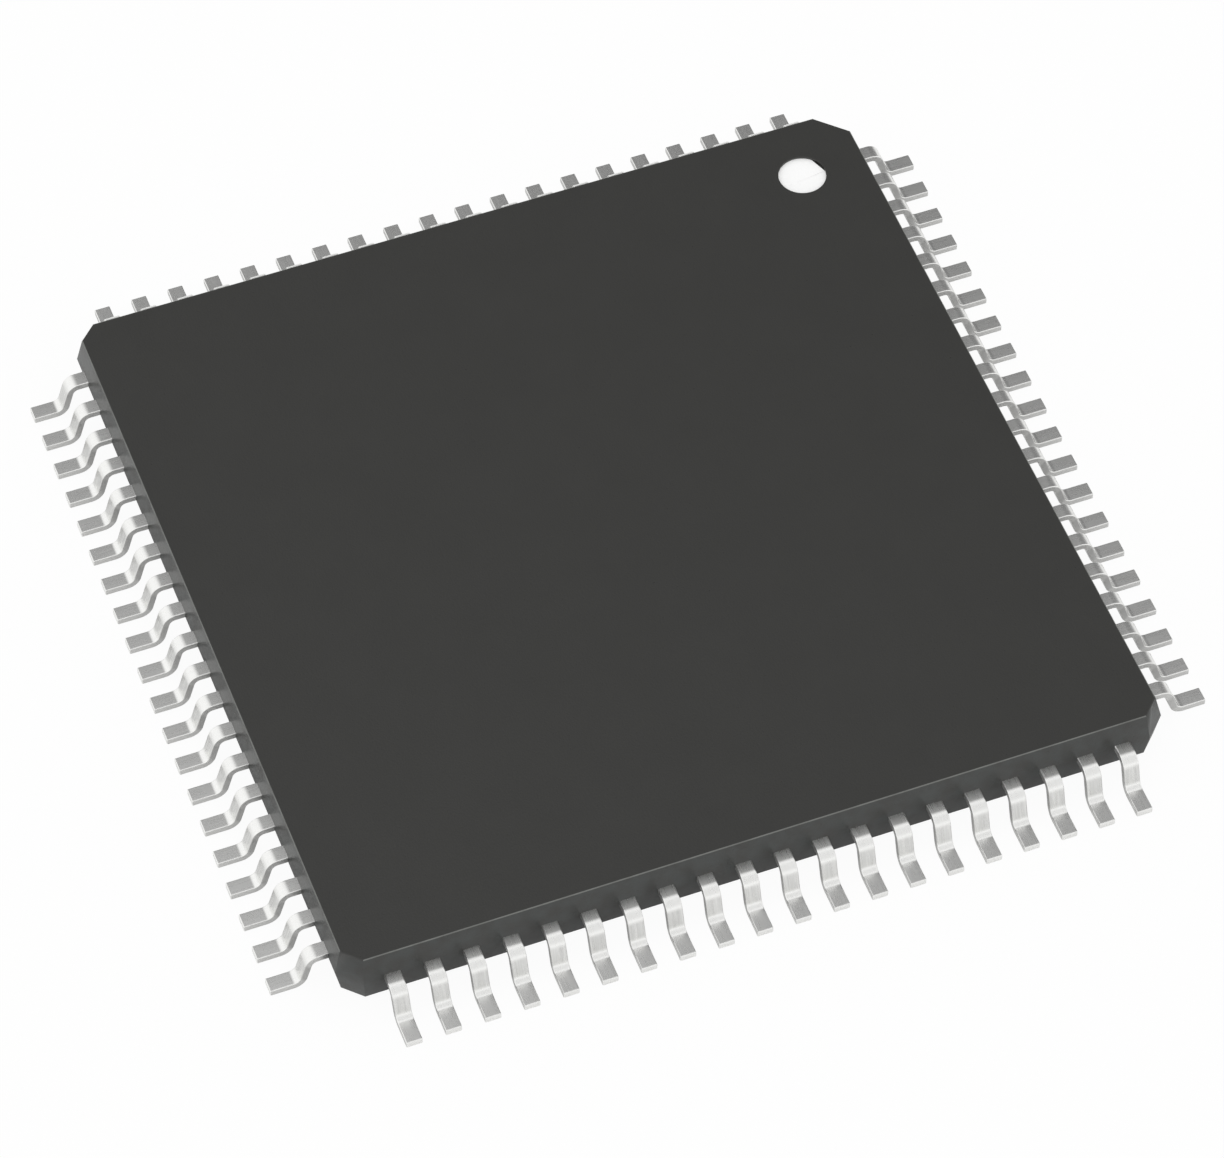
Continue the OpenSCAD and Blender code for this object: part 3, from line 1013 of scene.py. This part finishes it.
# %% Form one lead
def form_lead(number, place):
    """A lead on the +X side, at a place in its row from -1 to +1."""
    row_y = place * half_row
    lead = start_piece(
        bpy.ops.mesh.primitive_cube_add, f"lead_{number:02d}", size=1,
        location=((heel + toe) / 2, row_y, cad_low.z + LEAD_THICKNESS / 2),
        scale=(FOOT_LENGTH, LEAD_WIDTH, LEAD_THICKNESS),
    )
    select("faces", lambda f: f.normal.x < -0.9)
    bpy.ops.mesh.spin(
        steps=BEND_STEPS, angle=LEG_ANGLE, axis=(0, -1, 0),
        center=(heel, row_y, cad_low.z + LEAD_THICKNESS + LOWER_BEND),
    )
    radii = UPPER_BEND + LOWER_BEND + LEAD_THICKNESS
    rise = fingers - cad_low.z - radii * (1 - math.cos(LEG_ANGLE))
    bpy.ops.mesh.extrude_region_move(TRANSFORM_OT_translate={
        "value": (-rise / math.tan(LEG_ANGLE), 0, rise)
    })
    bpy.ops.mesh.spin(
        steps=BEND_STEPS, angle=LEG_ANGLE, axis=(0, 1, 0),
        center=(shoulder_end, row_y, fingers - UPPER_BEND),
    )
    knee = half_body - CORNER_RUN - (MIDDLE_RUN - CORNER_RUN) * (1 - abs(place))
    bpy.ops.mesh.extrude_region_move(TRANSFORM_OT_translate={
        "value": (knee - shoulder_end, 0, 0)
    })
    tip_y = place * half_tip_row
    bpy.ops.mesh.extrude_region_move(TRANSFORM_OT_translate={
        "value": (tip - knee, tip_y - row_y, 0)
    })
    bpy.ops.transform.resize(
        value=(1, TIP_WIDTH / LEAD_WIDTH, 1), center_override=(tip, tip_y, fingers)
    )
    bpy.ops.object.mode_set(mode="OBJECT")
    return lead


print("bends in", BEND_STEPS, "steps each")

# %% [markdown]
# Plating rounds every edge of the strip, so a bevel rounds all edges that are near square.
# Then the lead gets what its material reads: the strip map, and the attribute along. Each
# lead shifts its map by a few millimetres more, so that no two show the same streaks.

# %% Finish one lead
def finish_lead(lead, place):
    """Rounded edges, smooth bends, and the strip's UV map."""
    apply_modifier(
        lead, "BEVEL", width=LEAD_ROUND, segments=3,
        limit_method="ANGLE", angle_limit=math.radians(60),
    )
    smooth_bends(lead, 50)
    strip_map = lead.data.uv_layers.new(name="strip")
    lead.data.uv_layers.active = strip_map
    for loop, corner in zip(lead.data.loops, strip_map.data):
        co = lead.data.vertices[loop.vertex_index].co
        corner.uv = ((co.y - place * half_row) / MM, (co.x - co.z) / MM)
    along = lead.data.attributes.new("along", "FLOAT", "POINT")
    for vertex, value in zip(lead.data.vertices, along.data):
        value.value = (vertex.co.x - vertex.co.z) / MM
    lead.data.materials.append(tin)


print("edges rounded by", LEAD_ROUND / MM, "mm")

# %% [markdown]
# The leads are numbered from pin 1, in the way that pins are counted: down the first side
# and on round the body. Two neighbours share a CAD node, and each lead replaces its half.

# %% Form the row and copy it to the four sides
STREAK_SHIFT = 3


def place_lead(lead, number):
    """Shifts a lead's streaks, hides the CAD node that it stands for, and attaches it to its
    body.
    """
    for corner in lead.data.uv_layers["strip"].data:
        corner.uv.y += number * STREAK_SHIFT
    first = number - (number - 1) % 2
    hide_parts(f"leads_{first:02d}_{first + 1:02d}")
    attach(lead, "root")


row = []
for place_number in range(LEADS_PER_SIDE):
    place = 2 * place_number / (LEADS_PER_SIDE - 1) - 1
    lead = form_lead(2 * LEADS_PER_SIDE + 1 + place_number, place)
    finish_lead(lead, place)
    row.append(lead)

for side in (0, 1, 3):
    for place_number, first_lead in enumerate(row):
        number = side * LEADS_PER_SIDE + 1 + place_number
        copy = bpy.data.objects.new(f"lead_{number:02d}", first_lead.data.copy())
        bpy.context.scene.collection.objects.link(copy)
        copy.data.transform(Matrix.Rotation(math.pi + side * math.pi / 2, 4, "Z"))
        place_lead(copy, number)
for place_number, lead in enumerate(row):
    place_lead(lead, 2 * LEADS_PER_SIDE + 1 + place_number)
face_counts = [len(lead.data.polygons) for lead in row]
print("leads:", 4 * len(row), "of", min(face_counts), "to", max(face_counts), "faces each")
